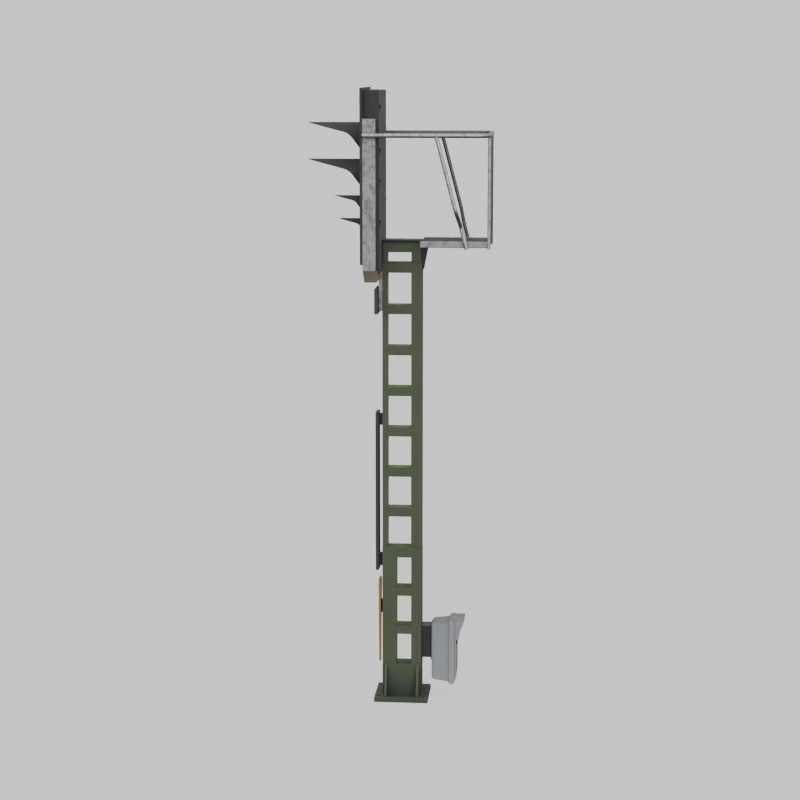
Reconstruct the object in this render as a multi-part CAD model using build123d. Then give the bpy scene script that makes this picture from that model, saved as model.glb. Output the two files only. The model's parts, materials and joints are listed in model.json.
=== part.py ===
from build123d import *
import math
import os

os.makedirs("parts", exist_ok=True)

# Colour-light railway signal on a narrow welded frame mast.  Millimetres, +Z up.
# Origin: middle of the base plate's underside.  The lamps shine towards -Y, the service
# platform is on the +Y side, and X runs across the track.

# ---- mast ----------------------------------------------------------------------------------------
BASE_X = 465.0
BASE_Y = 530.0
BASE_T = 50.0
ANCHOR_SPACING_X = 360.0
ANCHOR_SPACING_Y = 440.0
ANCHOR_HOLE_R = 16.5
GUSSET_T = 25.0
GUSSET_Y = 157.0
GUSSET_TOP = 350.0
GUSSET_REACH = 210.0

MAST_HALF_Y = 192.5
LOWER_HALF_X = 92.0
LOWER_TOP = 1540.0
LOWER_WALL = 10.0
LOWER_FRONT_DEPTH = 134.0
LOWER_REAR_DEPTH = 101.5
LOWER_WINDOW_H = 310.0
LOWER_PITCH = 390.0
LOWER_WINDOW_TOPS = [1443.0 - LOWER_PITCH * i for i in range(3)]

UPPER_HALF_X = 70.0
UPPER_TOP = 4350.0
UPPER_WALL = 8.0
UPPER_FRONT_DEPTH = 50.0
UPPER_REAR_DEPTH = 52.0
DUCT_DEPTH = 53.0
UPPER_WINDOW_H = 310.0
UPPER_PITCH = 400.0
UPPER_WINDOW_TOPS = [4250.0 - UPPER_PITCH * i for i in range(7)]
FLANGE_T = 10.0

HEAD_HALF_X = 52.0
HEAD_FRONT_Y = -187.0
HEAD_REAR_Y = 180.0
HEAD_TOP = 4553.0
HEAD_WALL = 8.0
HEAD_WINDOW_TOP = 4446.0
CAP_HALF_X = 85.0
CAP_T = 15.0

# ---- service platform and handrail ---------------------------------------------------------------
BEAM_OUT_X = 260.0
BEAM_W = 40.0
BEAM_Z0 = 4510.0
BEAM_Z1 = 4570.0
BEAM_WALL = 4.0
BEAM_FRONT_Y = 186.0
BEAM_REAR_Y = 831.0
GRATING_Z0 = 4540.0
GRATING_H = 26.0
RAIL_R = 22.0
RAIL_WALL = 3.0
RAIL_X = 420.0
RAIL_Z = 5567.0
RAIL_FRONT_Y = -345.0
RAIL_REAR_Y = 838.0
RAIL_BEND = 120.0
POST_R = 16.0
BRACE_R = 18.5
BRACE_TOP_Y = 345.0
BRACE_FOOT_Y = 627.0
BRACE_FOOT_Z = 4500.0
BRACE_CRANK_TOP = 4850.0
BRACE_CRANK_FOOT = 4720.0

# ---- signal head ---------------------------------------------------------------------------------
BOARD_HALF_X = 400.0
BOARD_FRONT_Y = -372.0
BOARD_DEPTH = 25.0
BOARD_LIP = 20.0
BOARD_Z0 = 4356.0
BOARD_Z1 = 6006.0
SHEET = 3.0
HOUSE_HALF_X = 350.0
HOUSE_FRONT_Y = -347.0
HOUSE_REAR_Y = -192.5
HOUSE_Z0 = 4270.0
HOUSE_Z1 = 5983.0
CHANNEL_OUT_X = 397.0
CHANNEL_FRONT_Y = -347.0
CHANNEL_REAR_Y = -225.0
CROSS_FRONT_Y = -347.0
CROSS_REAR_Y = -206.0
CHANNEL_Z0 = 4300.0
CHANNEL_Z1 = 5720.0
CROSS_Z0 = 4190.0

MAIN_HOOD_R = 150.0
MAIN_HOOD_LEN = 540.0
MAIN_LENS_R = 105.0
SHUNT_HOOD_R = 75.0
SHUNT_HOOD_LEN = 267.0
SHUNT_LENS_R = 48.0
# name, centre X, centre Z, hood radius, hood length, lens radius
LAMPS = [
    ("main_upper", 0.0, 5530.0, MAIN_HOOD_R, MAIN_HOOD_LEN, MAIN_LENS_R),
    ("main_lower", 0.0, 5183.0, MAIN_HOOD_R, MAIN_HOOD_LEN, MAIN_LENS_R),
    ("shunt_upper", 150.0, 4921.0, SHUNT_HOOD_R, SHUNT_HOOD_LEN, SHUNT_LENS_R),
    ("shunt_lower", -150.0, 4681.0, SHUNT_HOOD_R, SHUNT_HOOD_LEN, SHUNT_LENS_R),
]
HOOD_RING_W = 16.0
HOOD_RING_T = 4.0
LENS_BACK_Y = -353.0
OPTIC_REAR_Y = -230.0

DOOR_HALF_X = 318.0
DOOR_SPANS = {"lower": (4620.0, 5250.0), "upper": (5290.0, 5940.0)}
DOOR_GAP = 2.0
DOOR_RETURN = 15.0
DOOR_SEAL_T = 2.7
HINGE_X = 319.0
HINGE_Y = -183.5
HINGE_PIN_R = 4.0
HINGE_RUN = 0.05
HINGE_BARREL_R = 7.5
HINGE_H = 34.0
LATCH_X = -285.0
LATCH_SHAFT_R = 6.0

# ---- signs ---------------------------------------------------------------------------------------
RAIL_PLATE_HALF_X = 70.0
MOUNT_RAIL_Z0 = 3880.0
MOUNT_RAIL_DEPTH = 35.0
NUMBER_PLATE_HALF_X = 165.0
NUMBER_PLATE_Z0 = 3858.0
NUMBER_PLATE_Z1 = 4100.0
MAST_SIGN_HALF_X = 78.0
MAST_SIGN_Z0 = 1305.0
MAST_SIGN_Z1 = 2890.0
MAST_SIGN_FRONT_Y = -260.0
MAST_SIGN_BACK_Y = -230.0
TRIANGLE_HALF_X = 78.0
TRIANGLE_Z0 = 351.0
TRIANGLE_Z1 = 1207.0
TRIANGLE_FRONT_Y = -228.5
TRIANGLE_BACK_Y = -214.0

# ---- junction box --------------------------------------------------------------------------------
BOX_BACK_Y = 295.5
BOX_FRONT_Y = 470.0
BOX_WALL = 4.0
LID_HALF_X = 165.0
LID_Z0 = 186.0
LID_Z1 = 819.0
LID_BACK_Y = 472.0
LID_RIM_Y = 523.0
LID_FACE_Y = 541.0
LID_HINGE_X = -174.0
LID_HINGE_Y = 476.0
LID_HINGE_Z = [290.0, 715.0]
LID_PIN_R = 3.0
LID_BARREL_R = 7.0
LID_LATCH_X = 112.0
LID_LATCH_Z = 602.0


# ---- helpers -------------------------------------------------------------------------------------
def block(x0, x1, y0, y1, z0, z1):
    """Box between two corners."""
    centre = Pos((x0 + x1) / 2, (y0 + y1) / 2, (z0 + z1) / 2)
    return centre * Box(abs(x1 - x0), abs(y1 - y0), abs(z1 - z0))


def rod_x(y, z, x0, x1, radius):
    """Cylinder along X."""
    return Pos((x0 + x1) / 2, y, z) * Rot(0, 90, 0) * Cylinder(radius, abs(x1 - x0))


def rod_y(x, z, y0, y1, radius):
    """Cylinder along Y."""
    return Pos(x, (y0 + y1) / 2, z) * Rot(90, 0, 0) * Cylinder(radius, abs(y1 - y0))


def rod_z(x, y, z0, z1, radius):
    """Cylinder along Z."""
    return Pos(x, y, (z0 + z1) / 2) * Cylinder(radius, abs(z1 - z0))


def ring_y(x, z, y0, y1, outer, inner):
    """Flat ring whose axis is along Y."""
    return rod_y(x, z, y0, y1, outer) - rod_y(x, z, y0 - 1, y1 + 1, inner)


def hex_y(x, z, y0, y1, across_flats):
    """Hexagonal prism along Y."""
    profile = RegularPolygon(across_flats / math.sqrt(3), 6)
    return Pos(x, max(y0, y1), z) * Rot(90, 0, 0) * extrude(profile, abs(y1 - y0))


def prism_x(points_yz, x0, x1):
    """Extrude a closed outline in the YZ plane from x0 to x1."""
    corners = [(x0, y, z) for y, z in points_yz]
    face = make_face(Polyline(*corners, close=True))
    return extrude(face, x1 - x0, dir=(1, 0, 0))


def channel(half_x, web_y, tip_y, z0, z1, wall):
    """Upright U section: web at web_y, flanges reaching to tip_y."""
    inward = 1 if tip_y > web_y else -1
    outer = block(-half_x, half_x, web_y, tip_y, z0, z1)
    inner = block(wall - half_x, half_x - wall, web_y + inward * wall, tip_y + inward, z0 - 1, z1 + 1)
    return outer - inner


def both_sides(shape):
    """A piece and its twin on the other side of the YZ plane."""
    return [shape, mirror(shape, about=Plane.YZ)]


def tube_along(path, radius, wall):
    """Round tube that follows a path of straight runs and tangent arcs."""
    start = Plane(origin=path @ 0, z_dir=path % 0)
    section = start * (Circle(radius) - Circle(radius - wall))
    return sweep(section, path=path)


def save(name, pieces):
    """Write one node: a single solid, or a group of separate solids."""
    solids = pieces if isinstance(pieces, list) else [pieces]
    flat = [solid for piece in solids for solid in piece.solids()]
    shape = flat[0] if len(flat) == 1 else Compound(children=flat)
    export_step(shape, f"parts/{name}.step")


# ---- mast ----------------------------------------------------------------------------------------
def base_plate():
    plate = block(-BASE_X / 2, BASE_X / 2, -BASE_Y / 2, BASE_Y / 2, 0, BASE_T)
    plate = chamfer(plate.edges().group_by(Axis.Z)[-1], 3)
    for x in (-ANCHOR_SPACING_X / 2, ANCHOR_SPACING_X / 2):
        for y in (-ANCHOR_SPACING_Y / 2, ANCHOR_SPACING_Y / 2):
            plate -= rod_z(x, y, -1, BASE_T + 1, ANCHOR_HOLE_R)
    return plate


def base_gussets():
    toe = 12.0
    gussets = []
    for y in (-GUSSET_Y, GUSSET_Y):
        outline = [
            (LOWER_HALF_X, BASE_T),
            (GUSSET_REACH, BASE_T),
            (GUSSET_REACH, BASE_T + toe),
            (LOWER_HALF_X + toe, GUSSET_TOP),
            (LOWER_HALF_X, GUSSET_TOP),
        ]
        corners = [(x, y - GUSSET_T / 2, z) for x, z in outline]
        face = make_face(Polyline(*corners, close=True))
        gussets += both_sides(extrude(face, GUSSET_T, dir=(0, 1, 0)))
    return gussets


def battens(window_tops, window_h, z_bottom, z_top, half_x, wall, y0, y1):
    """Side plates that close the gaps above, between and below the windows, on both sides."""
    edges = [z_top]
    for top in window_tops:
        edges += [top, top - window_h]
    edges.append(z_bottom)
    plates = []
    for upper, lower in zip(edges[0::2], edges[1::2]):
        if upper - lower > 1:
            plates += both_sides(block(half_x - wall, half_x, y0, y1, lower, upper))
    return plates


def lower_mast():
    plate_z0 = LOWER_TOP - FLANGE_T
    front_tip = -MAST_HALF_Y + LOWER_FRONT_DEPTH
    rear_tip = MAST_HALF_Y - LOWER_REAR_DEPTH
    save("lower_front_channel", channel(LOWER_HALF_X, -MAST_HALF_Y, front_tip, BASE_T, plate_z0, LOWER_WALL))
    save("lower_rear_channel", lower_rear_channel(rear_tip, plate_z0))
    save("lower_side_battens", battens(LOWER_WINDOW_TOPS, LOWER_WINDOW_H, BASE_T, plate_z0,
                                       LOWER_HALF_X, LOWER_WALL, front_tip, rear_tip))


def lower_rear_channel(rear_tip, z1):
    """Rear channel with the cable hole that leads into the junction box bracket."""
    section = channel(LOWER_HALF_X, MAST_HALF_Y, rear_tip, BASE_T, z1, LOWER_WALL)
    return section - rod_y(0, CABLE_Z, MAST_HALF_Y - 20, MAST_HALF_Y + 20, CABLE_HOLE_R)


def flange_plate(half_x, z0):
    """Horizontal joint plate with a cable opening over the duct."""
    plate = block(-half_x, half_x, -MAST_HALF_Y, MAST_HALF_Y, z0, z0 + FLANGE_T)
    return plate - block(-45, 45, 100, 170, z0 - 1, z0 + FLANGE_T + 1)


def upper_mast():
    z1 = UPPER_TOP - FLANGE_T
    front_tip = -MAST_HALF_Y + UPPER_FRONT_DEPTH
    rear_tip = MAST_HALF_Y - UPPER_REAR_DEPTH
    duct_front = rear_tip - DUCT_DEPTH
    duct_half = UPPER_HALF_X - 1
    save("upper_front_channel", channel(UPPER_HALF_X, -MAST_HALF_Y, front_tip, LOWER_TOP, z1, UPPER_WALL))
    save("upper_rear_channel", channel(UPPER_HALF_X, MAST_HALF_Y, rear_tip, LOWER_TOP, z1, UPPER_WALL))
    save("cable_duct", channel(duct_half, duct_front, rear_tip, LOWER_TOP, z1, SHEET))
    save("upper_side_battens", battens(UPPER_WINDOW_TOPS, UPPER_WINDOW_H, LOWER_TOP, z1,
                                       UPPER_HALF_X, UPPER_WALL, front_tip, duct_front))


def mast_flange_plates():
    """Joint plates on top of the lower and the upper mast section."""
    return [
        flange_plate(LOWER_HALF_X, LOWER_TOP - FLANGE_T),
        flange_plate(UPPER_HALF_X, UPPER_TOP - FLANGE_T),
    ]


def mast_head_frame():
    """Short box frame under the platform, with a window through both sides."""
    wall = HEAD_WALL
    frame = block(-HEAD_HALF_X, HEAD_HALF_X, HEAD_FRONT_Y, HEAD_REAR_Y, UPPER_TOP, HEAD_TOP)
    frame -= block(wall - HEAD_HALF_X, HEAD_HALF_X - wall, HEAD_FRONT_Y + wall, HEAD_REAR_Y - wall,
                   UPPER_TOP - 1, HEAD_TOP + 1)
    window_y0 = -MAST_HALF_Y + UPPER_FRONT_DEPTH
    window_y1 = MAST_HALF_Y - UPPER_REAR_DEPTH - DUCT_DEPTH
    return frame - block(-100, 100, window_y0, window_y1, UPPER_TOP - 1, HEAD_WINDOW_TOP)


def mast_cap_plate():
    return block(-CAP_HALF_X, CAP_HALF_X, -MAST_HALF_Y + 1, BEAM_FRONT_Y + 4, HEAD_TOP, HEAD_TOP + CAP_T)


# ---- platform ------------------------------------------------------------------------------------
def platform_brackets():
    """Two tapered plates on the rear of the mast under the platform."""
    outline = [
        (HEAD_REAR_Y, BEAM_Z0),
        (248.5, BEAM_Z0),
        (202.5, 4280.0),
        (MAST_HALF_Y, 4280.0),
        (MAST_HALF_Y, UPPER_TOP),
        (HEAD_REAR_Y, UPPER_TOP),
    ]
    return both_sides(prism_x(outline, 38.0, 50.0))


def platform_side_beams():
    outer = block(BEAM_OUT_X - BEAM_W, BEAM_OUT_X, BEAM_FRONT_Y, BEAM_REAR_Y, BEAM_Z0, BEAM_Z1)
    outer = fillet(outer.edges().filter_by(Axis.Y), 10)
    inner = block(BEAM_OUT_X - BEAM_W + BEAM_WALL, BEAM_OUT_X - BEAM_WALL, BEAM_FRONT_Y + BEAM_WALL,
                  BEAM_REAR_Y + 1, BEAM_Z0 + BEAM_WALL, BEAM_Z1 - BEAM_WALL)
    return both_sides(outer - inner)


def platform_cross_beams():
    inner_x = BEAM_OUT_X - BEAM_W
    beams = []
    for y in (BEAM_FRONT_Y + 9, 500.0, BEAM_REAR_Y - 41):
        beams.append(block(-inner_x, inner_x, y, y + 40, BEAM_Z0, GRATING_Z0))
    return beams


def platform_grating():
    """Welded grating: long bearing bars, cross rods and a flat frame round the edge."""
    half_x = BEAM_OUT_X - BEAM_W - 1
    y0 = BEAM_FRONT_Y + 9
    y1 = BEAM_REAR_Y - 1
    top = GRATING_Z0 + GRATING_H
    grating = block(-half_x, half_x, y0, y1, GRATING_Z0, top)
    grating -= block(4 - half_x, half_x - 4, y0 + 4, y1 - 4, GRATING_Z0 - 1, top + 1)
    bars = []
    bar_count = 12
    pitch = 2 * (half_x - 2) / (bar_count + 1)
    for i in range(bar_count):
        x = -half_x + 2 + pitch * (i + 1)
        bars.append(block(x - 1.5, x + 1.5, y0 + 3, y1 - 3, GRATING_Z0, top))
    rod_count = 8
    step = (y1 - y0) / (rod_count + 1)
    for i in range(rod_count):
        y = y0 + step * (i + 1)
        bars.append(block(3 - half_x, half_x - 3, y - 3, y + 3, top - 7, top - 1))
    return grating.fuse(*bars)


def rail_path():
    corners = [
        (RAIL_X, RAIL_FRONT_Y, RAIL_Z),
        (RAIL_X, RAIL_REAR_Y, RAIL_Z),
        (-RAIL_X, RAIL_REAR_Y, RAIL_Z),
        (-RAIL_X, RAIL_FRONT_Y, RAIL_Z),
    ]
    return FilletPolyline(*corners, radius=RAIL_BEND)


def handrail():
    return tube_along(rail_path(), RAIL_R, RAIL_WALL)


def handrail_posts():
    post_x = BEAM_OUT_X + POST_R + 0.3
    post = rod_z(post_x, RAIL_REAR_Y, BEAM_Z0 - 6, RAIL_Z, POST_R)
    post -= rod_z(post_x, RAIL_REAR_Y, BEAM_Z0 - 7, RAIL_Z + 1, POST_R - RAIL_WALL)
    post -= rod_x(RAIL_REAR_Y, RAIL_Z, 0, RAIL_X, RAIL_R)
    foot = block(BEAM_OUT_X, post_x, RAIL_REAR_Y - 12, RAIL_REAR_Y - 4, BEAM_Z0 + 8, BEAM_Z1 - 8)
    foot -= rod_z(post_x, RAIL_REAR_Y, BEAM_Z0, BEAM_Z1, POST_R - 1)
    return both_sides(post + foot)


def handrail_braces():
    """Diagonal tubes from the side rails, cranked inwards to lap the floor beams."""
    slope = (BRACE_FOOT_Y - BRACE_TOP_Y) / (RAIL_Z - BRACE_FOOT_Z)
    foot_x = BEAM_OUT_X + BRACE_R
    path = FilletPolyline(
        (RAIL_X, BRACE_TOP_Y, RAIL_Z),
        (RAIL_X, BRACE_TOP_Y + slope * (RAIL_Z - BRACE_CRANK_TOP), BRACE_CRANK_TOP),
        (foot_x, BRACE_TOP_Y + slope * (RAIL_Z - BRACE_CRANK_FOOT), BRACE_CRANK_FOOT),
        (foot_x, BRACE_FOOT_Y, BRACE_FOOT_Z),
        radius=60,
    )
    tube = tube_along(path, BRACE_R, RAIL_WALL)
    tube -= rod_y(RAIL_X, RAIL_Z, RAIL_FRONT_Y, RAIL_REAR_Y - RAIL_BEND, RAIL_R)
    lowest_run = max(tube.solids(), key=lambda solid: solid.volume)
    return both_sides(lowest_run)


CLAMP_Y = [-322.0, -241.0]
CLAMP_W = 24.0
CLAMP_BOLT_DROP = 40.0


def handrail_clamps():
    """Saddles that hold the side rails on the outer faces of the side channels."""
    clamps = []
    outer_r = RAIL_R + 5
    for y in CLAMP_Y:
        strap = rod_y(RAIL_X, RAIL_Z, y - CLAMP_W / 2, y + CLAMP_W / 2, outer_r)
        strap += block(CHANNEL_OUT_X, RAIL_X, y - CLAMP_W / 2, y + CLAMP_W / 2,
                       RAIL_Z - outer_r, RAIL_Z + outer_r)
        strap += block(CHANNEL_OUT_X, CHANNEL_OUT_X + 5, y - CLAMP_W / 2, y + CLAMP_W / 2,
                       RAIL_Z - CLAMP_BOLT_DROP - 14, RAIL_Z + CLAMP_BOLT_DROP + 14)
        strap -= rod_y(RAIL_X, RAIL_Z, y - CLAMP_W, y + CLAMP_W, RAIL_R)
        strap -= block(CHANNEL_OUT_X - 30, CHANNEL_OUT_X, y - CLAMP_W, y + CLAMP_W, RAIL_Z - 60, RAIL_Z + 60)
        for side in (-1, 1):
            strap -= rod_x(y, RAIL_Z + side * CLAMP_BOLT_DROP, CHANNEL_OUT_X - 2, CHANNEL_OUT_X + 8, 5.0)
        clamps += both_sides(strap)
    return clamps


# ---- signal head frame ---------------------------------------------------------------------------
def side_channels():
    """Galvanised uprights beside the housing; the open side faces the housing wall."""
    wall = 6.0
    outer = block(HOUSE_HALF_X, CHANNEL_OUT_X, CHANNEL_FRONT_Y, CHANNEL_REAR_Y, CHANNEL_Z0, CHANNEL_Z1)
    inner = block(HOUSE_HALF_X - 1, CHANNEL_OUT_X - wall, CHANNEL_FRONT_Y + wall, CHANNEL_REAR_Y - wall,
                  CHANNEL_Z0 - 1, CHANNEL_Z1 + 1)
    upright = outer - inner
    for y in CLAMP_Y:
        for side in (-1, 1):
            upright -= rod_x(y, RAIL_Z + side * CLAMP_BOLT_DROP, CHANNEL_OUT_X - 10, CHANNEL_OUT_X + 1, 5.0)
    return both_sides(upright)


def lower_crossmember():
    """Folded box under the housing that ties the two uprights to the mast."""
    wall = 6.0
    outline = [
        (CROSS_FRONT_Y, CHANNEL_Z0),
        (CROSS_REAR_Y, CHANNEL_Z0),
        (CROSS_REAR_Y, CROSS_Z0 + 16),
        (CROSS_REAR_Y - 12, CROSS_Z0),
        (CROSS_FRONT_Y + 16, CROSS_Z0),
    ]
    hollow = [
        (CROSS_FRONT_Y + 7, CHANNEL_Z0 + 1),
        (CROSS_REAR_Y - 6, CHANNEL_Z0 + 1),
        (CROSS_REAR_Y - 6, CROSS_Z0 + 20),
        (CROSS_REAR_Y - 15, CROSS_Z0 + wall),
        (CROSS_FRONT_Y + 21, CROSS_Z0 + wall),
    ]
    beam = prism_x(outline, -CHANNEL_OUT_X, CHANNEL_OUT_X)
    beam -= prism_x(hollow, wall - CHANNEL_OUT_X, CHANNEL_OUT_X - wall)
    beam -= block(-HOUSE_HALF_X - 1, HOUSE_HALF_X + 1, HOUSE_FRONT_Y - 30, HOUSE_REAR_Y + 30,
                  HOUSE_Z0, CHANNEL_Z0 + 5)
    notch_y = -MAST_HALF_Y - MOUNT_RAIL_DEPTH
    return beam - block(-RAIL_PLATE_HALF_X, RAIL_PLATE_HALF_X, notch_y, 0, CROSS_Z0 - 1, CHANNEL_Z0 + 1)


def mount_rail():
    """Shallow channel bolted to the front of the mast, open towards it."""
    front_y = -MAST_HALF_Y - MOUNT_RAIL_DEPTH
    return channel(RAIL_PLATE_HALF_X, front_y, -MAST_HALF_Y, MOUNT_RAIL_Z0, HOUSE_Z0, 5.0)


def background_board():
    """Folded tray with returned edges and a hole for each lamp."""
    half = BOARD_HALF_X
    lip = BOARD_LIP
    back_y = BOARD_FRONT_Y + BOARD_DEPTH
    board = block(-half, half, BOARD_FRONT_Y, back_y, BOARD_Z0, BOARD_Z1)
    board -= block(SHEET - half, half - SHEET, BOARD_FRONT_Y + SHEET, back_y - SHEET,
                   BOARD_Z0 + SHEET, BOARD_Z1 - SHEET)
    board -= block(lip - half, half - lip, back_y - SHEET - 1, back_y + 1, BOARD_Z0 + lip, BOARD_Z1 - lip)
    for _, x, z, hood_r, _, lens_r in LAMPS:
        board -= rod_y(x, z, BOARD_FRONT_Y - 1, BOARD_FRONT_Y + 6, lens_r + 12)
        for sx, sz in screw_points(x, z, hood_r):
            board -= rod_y(sx, sz, BOARD_FRONT_Y - 1, BOARD_FRONT_Y + 6, SCREW_R)
    return board


def housing_shell():
    """Sheet-metal case: four lamp holes in front, two framed door openings at the back."""
    half = HOUSE_HALF_X
    shell = block(-half, half, HOUSE_FRONT_Y, HOUSE_REAR_Y, HOUSE_Z0, HOUSE_Z1)
    shell = chamfer(shell.edges().filter_by(Axis.X).group_by(Axis.Z)[-1], 4)
    shell -= block(SHEET - half, half - SHEET, HOUSE_FRONT_Y + SHEET, HOUSE_REAR_Y - SHEET,
                   HOUSE_Z0 + SHEET, HOUSE_Z1 - SHEET)
    lining_y = HOUSE_REAR_Y - SHEET - DOOR_RETURN - DOOR_SEAL_T - SHEET - 0.3
    for z0, z1 in DOOR_SPANS.values():
        lining = block(-DOOR_HALF_X - SHEET, DOOR_HALF_X + SHEET, lining_y, HOUSE_REAR_Y - 1,
                       z0 - SHEET, z1 + SHEET)
        lining -= block(-DOOR_HALF_X, DOOR_HALF_X, lining_y + SHEET, HOUSE_REAR_Y + 1, z0, z1)
        lining -= block(15 - DOOR_HALF_X, DOOR_HALF_X - 15, lining_y - 1, HOUSE_REAR_Y, z0 + 15, z1 - 15)
        shell -= block(-DOOR_HALF_X, DOOR_HALF_X, HOUSE_REAR_Y - SHEET - 1, HOUSE_REAR_Y + 1, z0, z1)
        shell += lining
    for _, x, z, _, _, lens_r in LAMPS:
        shell -= rod_y(x, z, HOUSE_FRONT_Y - 1, HOUSE_FRONT_Y + SHEET + 1, lens_r)
    return shell


# ---- lamps ---------------------------------------------------------------------------------------
SCREW_R = 3.0


def screw_points(x, z, hood_r):
    """Four screws through the hood's ring, on the diagonals."""
    reach = (hood_r + HOOD_RING_W / 2) * math.sqrt(0.5)
    return [(x + sx * reach, z + sz * reach) for sx in (-1, 1) for sz in (-1, 1)]


def lamp_hood(x, z, radius, length):
    """Long-nosed hood: a tube cut away from the tip down to its ring."""
    base_y = BOARD_FRONT_Y
    tip_y = base_y - length
    crown = z + radius
    knee = (base_y - 0.235 * length, crown - 0.19 * length)
    toe = (base_y, z - 0.86 * radius)
    above = [
        (tip_y, crown - 1),
        knee,
        toe,
        (base_y + 1, z - 0.86 * radius),
        (base_y + 1, crown + 10),
        (tip_y, crown + 10),
    ]
    corners = [(x, y, zz) for y, zz in above]
    face = make_face(Polyline(*corners, close=True))
    corner = face.vertices().sort_by_distance((x, knee[0], knee[1]))[0]
    face = fillet(corner, 0.3 * length)
    keep = extrude(face, radius + 5, dir=(1, 0, 0), both=True)
    tube = ring_y(x, z, tip_y, base_y, radius, radius - SHEET)
    hood = tube.solid() & keep.solid()
    hood += ring_y(x, z, base_y - HOOD_RING_T, base_y, radius + HOOD_RING_W, radius - SHEET)
    for sx, sz in screw_points(x, z, radius):
        hood -= rod_y(sx, sz, base_y - HOOD_RING_T - 1, base_y + 1, SCREW_R)
    return hood


def hood_screws():
    screws = []
    for _, x, z, hood_r, _, _ in LAMPS:
        for sx, sz in screw_points(x, z, hood_r):
            head_y = BOARD_FRONT_Y - HOOD_RING_T
            screw = rod_y(sx, sz, head_y - 4, head_y, 6.0)
            screw += rod_y(sx, sz, head_y, BOARD_FRONT_Y + 10, SCREW_R)
            screws.append(screw)
    return screws


def lens(x, z, radius):
    """Spherical front, flat back."""
    rise = 0.11 * radius
    rim = 5.0
    back = LENS_BACK_Y
    front = back - rim - rise
    sphere_r = (radius ** 2 + rise ** 2) / (2 * rise)
    ball = Pos(x, front + sphere_r, z) * Sphere(sphere_r)
    return rod_y(x, z, front - 1, back, radius).solid() & ball.solid()


def lens_ring(x, z, radius):
    """Bezel that holds the lens on the optic housing's flange."""
    rim = 5.5
    lip = 5.0
    ring = ring_y(x, z, LENS_BACK_Y - rim - 3, LENS_BACK_Y, radius + 7, radius)
    return ring + ring_y(x, z, LENS_BACK_Y - rim - 4, LENS_BACK_Y - rim - 1.5, radius + 7, radius - lip + 2.5)


def optic_housing(x, z, radius):
    """Flanged cone that carries the lens in front and the bulb holder behind."""
    flange_r = radius + 8
    neck_r = 34.0
    profile = [
        (radius - 4, LENS_BACK_Y),
        (flange_r, LENS_BACK_Y),
        (flange_r, HOUSE_FRONT_Y),
        (radius, HOUSE_FRONT_Y),
        (radius, HOUSE_FRONT_Y + SHEET + 2),
        (neck_r, OPTIC_REAR_Y - 12),
        (neck_r, OPTIC_REAR_Y),
        (HOLDER_R, OPTIC_REAR_Y),
        (HOLDER_R, OPTIC_REAR_Y - 3),
        (neck_r - 3, OPTIC_REAR_Y - 3),
        (neck_r - 3, OPTIC_REAR_Y - 13),
        (radius - 4, HOUSE_FRONT_Y + SHEET),
    ]
    face = make_face(Polyline(*[(r, y, 0) for r, y in profile], close=True))
    return Pos(x, 0, z) * revolve(face, axis=Axis.Y)


HOLDER_R = 18.0


def bulb_holder(x, z):
    holder = rod_y(x, z, OPTIC_REAR_Y - 16, OPTIC_REAR_Y, HOLDER_R)
    holder += rod_y(x, z, OPTIC_REAR_Y, OPTIC_REAR_Y + 4, HOLDER_R + 8)
    holder += rod_y(x, z, OPTIC_REAR_Y + 4, OPTIC_REAR_Y + 12, 12)
    return holder


def signal_bulb(x, z):
    seat = OPTIC_REAR_Y - 16
    bulb = rod_y(x, z, seat - 16, seat, 8)
    return bulb + Pos(x, seat - 24, z) * Sphere(13)


def lamps():
    rings = []
    optics = []
    holders = []
    bulbs = []
    shunt_lenses = []
    for name, x, z, hood_r, hood_len, lens_r in LAMPS:
        save(f"hood_{name}", lamp_hood(x, z, hood_r, hood_len))
        if name.startswith("main"):
            save(f"lens_{name}", lens(x, z, lens_r))
        else:
            shunt_lenses.append(lens(x, z, lens_r))
        rings.append(lens_ring(x, z, lens_r))
        optics.append(optic_housing(x, z, lens_r))
        holders.append(bulb_holder(x, z))
        bulbs.append(signal_bulb(x, z))
    save("shunt_lenses", shunt_lenses)
    save("lens_rings", rings)
    save("optic_housings", optics)
    save("bulb_holders", holders)
    save("signal_bulbs", bulbs)
    save("hood_screws", hood_screws())


# ---- housing interior and doors ------------------------------------------------------------------
INSIDE_FRONT_Y = HOUSE_FRONT_Y + SHEET


def lamp_transformers():
    units = []
    for x in (60.0, 175.0):
        unit = block(x, x + 90, INSIDE_FRONT_Y, INSIDE_FRONT_Y + 70, 4640, 4760)
        units.append(fillet(unit.edges().filter_by(Axis.Z), 6))
    return units


def terminal_strip(x0, x1, z, y0, direction):
    """Mounting rail with a row of terminal blocks, standing off a wall at y0."""
    rail = block(x0, x1, y0, y0 + direction * 8, z - 17, z + 17)
    row = []
    count = int((x1 - x0 - 30) / 12)
    for i in range(count):
        x = x0 + 15 + 12 * i
        row.append(block(x, x + 11.5, y0 + direction * 8, y0 + direction * 42, z - 24, z + 24))
    return [rail] + row


def hinge_levels(span):
    z0, z1 = span
    return [z0 + 90, z1 - 90 - 2 * HINGE_H]


def door_hinge_bases():
    """Welded leaves with the lower barrels; the doors lift off upwards."""
    bases = []
    for span in DOOR_SPANS.values():
        for z in hinge_levels(span):
            base = block(HINGE_X, HINGE_X + 26, HOUSE_REAR_Y, HOUSE_REAR_Y + 3, z, z + HINGE_H)
            base += block(HINGE_X - 4, HINGE_X + 4, HOUSE_REAR_Y + 0.5, HINGE_Y, z, z + HINGE_H)
            base += rod_z(HINGE_X, HINGE_Y, z, z + HINGE_H, HINGE_BARREL_R)
            bases.append(base - rod_z(HINGE_X, HINGE_Y, z - 1, z + HINGE_H + 1, HINGE_PIN_R))
    return bases


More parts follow.
